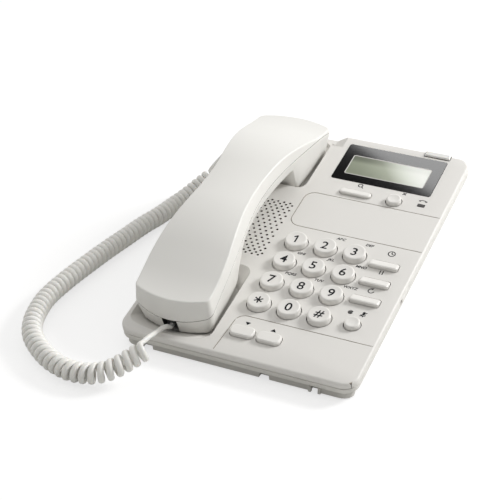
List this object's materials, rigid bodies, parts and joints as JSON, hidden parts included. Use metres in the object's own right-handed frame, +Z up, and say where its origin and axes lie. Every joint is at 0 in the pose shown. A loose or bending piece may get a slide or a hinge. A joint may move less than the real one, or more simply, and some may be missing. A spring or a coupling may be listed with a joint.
{
  "type": "corded landline telephone",
  "caption": "Corded desk telephone with a sloping case, handset cradle, push-button dial, function keys, display window, wedge stand and a curly handset cord.",
  "frame": {"origin": "on the table, under the middle of the case seen from above, without the free cord", "axes": "+X to the right of the person dialling, +Y towards the back, +Z up from the table"},
  "size_m": [0.2137, 0.2578, 0.0741],
  "materials": {
    "case": "fine satin",
    "case_low": "fine satin",
    "stand": "satin",
    "rubber": "matte",
    "screw": "plain",
    "window": "gloss",
    "lcd": "semi-gloss",
    "lamp": "translucent",
    "led": "gloss",
    "mat": "matte",
    "board": "solder mask",
    "speaker": "matte",
    "dark_plastic": "matte",
    "handset": "fine satin",
    "steel": "raw",
    "plug": "clear",
    "cord": "satin",
    "key": "fine satin"
  },
  "bodies": {
    "base": {"bottom_case": "case_low", "top_case": "case", "desk_stand": "stand", "rubber_feet": "rubber", "case_screws": "screw", "display_window": "window", "lcd_panel": "lcd", "message_lamp": "lamp", "in_use_led": "led", "mute_led": "led", "keypad_mat": "mat", "main_pcb": "board", "loudspeaker": "speaker", "hook_switch": "dark_plastic", "line_jack": "dark_plastic", "base_jack": "dark_plastic", "curly_cord": "cord", "base_plug": "plug"},
    "handset": {"handset_back_shell": "handset", "handset_front_shell": "handset", "receiver_capsule": "speaker", "microphone": "speaker", "handset_weight": "steel", "handset_jack": "dark_plastic", "handset_plug": "plug"},
    "hook_plunger": {"hook_plunger": "case"},
    "ringer_switch": {"ringer_switch": "dark_plastic"},
    "key_1": {"key_1": "key"},
    "key_2": {"key_2": "key"},
    "key_3": {"key_3": "key"},
    "key_4": {"key_4": "key"},
    "key_5": {"key_5": "key"},
    "key_6": {"key_6": "key"},
    "key_7": {"key_7": "key"},
    "key_8": {"key_8": "key"},
    "key_9": {"key_9": "key"},
    "key_star": {"key_star": "key"},
    "key_0": {"key_0": "key"},
    "key_hash": {"key_hash": "key"},
    "memory_key": {"memory_key": "key"},
    "flash_key": {"flash_key": "key"},
    "redial_key": {"redial_key": "key"},
    "mute_key": {"mute_key": "key"},
    "search_key": {"search_key": "key"},
    "delete_key": {"delete_key": "key"},
    "volume_down_key": {"volume_down_key": "key"},
    "volume_up_key": {"volume_up_key": "key"}
  },
  "joints": [
    {"name": "handset_lift", "type": "slide", "parent": "base", "child": "handset", "axis": [0, 0, 1], "range_m": [0, 0.15]},
    {"name": "hook_plunger_rise", "type": "slide", "parent": "base", "child": "hook_plunger", "axis": [0, -0.2079, 0.9781], "range_m": [0, 0.004]},
    {"name": "ringer_switch_slide", "type": "slide", "parent": "base", "child": "ringer_switch", "axis": [0, 0.9781, 0.2079], "range_m": [-0.0031, 0]},
    {"name": "key_1_press", "type": "slide", "parent": "base", "child": "key_1", "axis": [0, 0.2079, -0.9781], "range_m": [0, 0.0018], "stiffness_N_per_m": 300, "springref_m": -0.001},
    {"name": "key_2_press", "type": "slide", "parent": "base", "child": "key_2", "axis": [0, 0.2079, -0.9781], "range_m": [0, 0.0018], "stiffness_N_per_m": 300, "springref_m": -0.001},
    {"name": "key_3_press", "type": "slide", "parent": "base", "child": "key_3", "axis": [0, 0.2079, -0.9781], "range_m": [0, 0.0018], "stiffness_N_per_m": 300, "springref_m": -0.001},
    {"name": "key_4_press", "type": "slide", "parent": "base", "child": "key_4", "axis": [0, 0.2079, -0.9781], "range_m": [0, 0.0018], "stiffness_N_per_m": 300, "springref_m": -0.001},
    {"name": "key_5_press", "type": "slide", "parent": "base", "child": "key_5", "axis": [0, 0.2079, -0.9781], "range_m": [0, 0.0018], "stiffness_N_per_m": 300, "springref_m": -0.001},
    {"name": "key_6_press", "type": "slide", "parent": "base", "child": "key_6", "axis": [0, 0.2079, -0.9781], "range_m": [0, 0.0018], "stiffness_N_per_m": 300, "springref_m": -0.001},
    {"name": "key_7_press", "type": "slide", "parent": "base", "child": "key_7", "axis": [0, 0.2079, -0.9781], "range_m": [0, 0.0018], "stiffness_N_per_m": 300, "springref_m": -0.001},
    {"name": "key_8_press", "type": "slide", "parent": "base", "child": "key_8", "axis": [0, 0.2079, -0.9781], "range_m": [0, 0.0018], "stiffness_N_per_m": 300, "springref_m": -0.001},
    {"name": "key_9_press", "type": "slide", "parent": "base", "child": "key_9", "axis": [0, 0.2079, -0.9781], "range_m": [0, 0.0018], "stiffness_N_per_m": 300, "springref_m": -0.001},
    {"name": "key_star_press", "type": "slide", "parent": "base", "child": "key_star", "axis": [0, 0.2079, -0.9781], "range_m": [0, 0.0018], "stiffness_N_per_m": 300, "springref_m": -0.001},
    {"name": "key_0_press", "type": "slide", "parent": "base", "child": "key_0", "axis": [0, 0.2079, -0.9781], "range_m": [0, 0.0018], "stiffness_N_per_m": 300, "springref_m": -0.001},
    {"name": "key_hash_press", "type": "slide", "parent": "base", "child": "key_hash", "axis": [0, 0.2079, -0.9781], "range_m": [0, 0.0018], "stiffness_N_per_m": 300, "springref_m": -0.001},
    {"name": "memory_key_press", "type": "slide", "parent": "base", "child": "memory_key", "axis": [0, 0.2079, -0.9781], "range_m": [0, 0.0018], "stiffness_N_per_m": 300, "springref_m": -0.001},
    {"name": "flash_key_press", "type": "slide", "parent": "base", "child": "flash_key", "axis": [0, 0.2079, -0.9781], "range_m": [0, 0.0018], "stiffness_N_per_m": 300, "springref_m": -0.001},
    {"name": "redial_key_press", "type": "slide", "parent": "base", "child": "redial_key", "axis": [0, 0.2079, -0.9781], "range_m": [0, 0.0018], "stiffness_N_per_m": 300, "springref_m": -0.001},
    {"name": "mute_key_press", "type": "slide", "parent": "base", "child": "mute_key", "axis": [0, 0.2079, -0.9781], "range_m": [0, 0.0018], "stiffness_N_per_m": 300, "springref_m": -0.001},
    {"name": "search_key_press", "type": "slide", "parent": "base", "child": "search_key", "axis": [0, 0.2079, -0.9781], "range_m": [0, 0.0018], "stiffness_N_per_m": 300, "springref_m": -0.001},
    {"name": "delete_key_press", "type": "slide", "parent": "base", "child": "delete_key", "axis": [0, 0.2079, -0.9781], "range_m": [0, 0.0018], "stiffness_N_per_m": 300, "springref_m": -0.001},
    {"name": "volume_down_key_press", "type": "slide", "parent": "base", "child": "volume_down_key", "axis": [0, 0.2079, -0.9781], "range_m": [0, 0.0018], "stiffness_N_per_m": 300, "springref_m": -0.001},
    {"name": "volume_up_key_press", "type": "slide", "parent": "base", "child": "volume_up_key", "axis": [0, 0.2079, -0.9781], "range_m": [0, 0.0018], "stiffness_N_per_m": 300, "springref_m": -0.001}
  ],
  "couplings": [
    {"joint": "hook_plunger_rise", "follows": "handset_lift", "ratio": 0.02666}
  ]
}
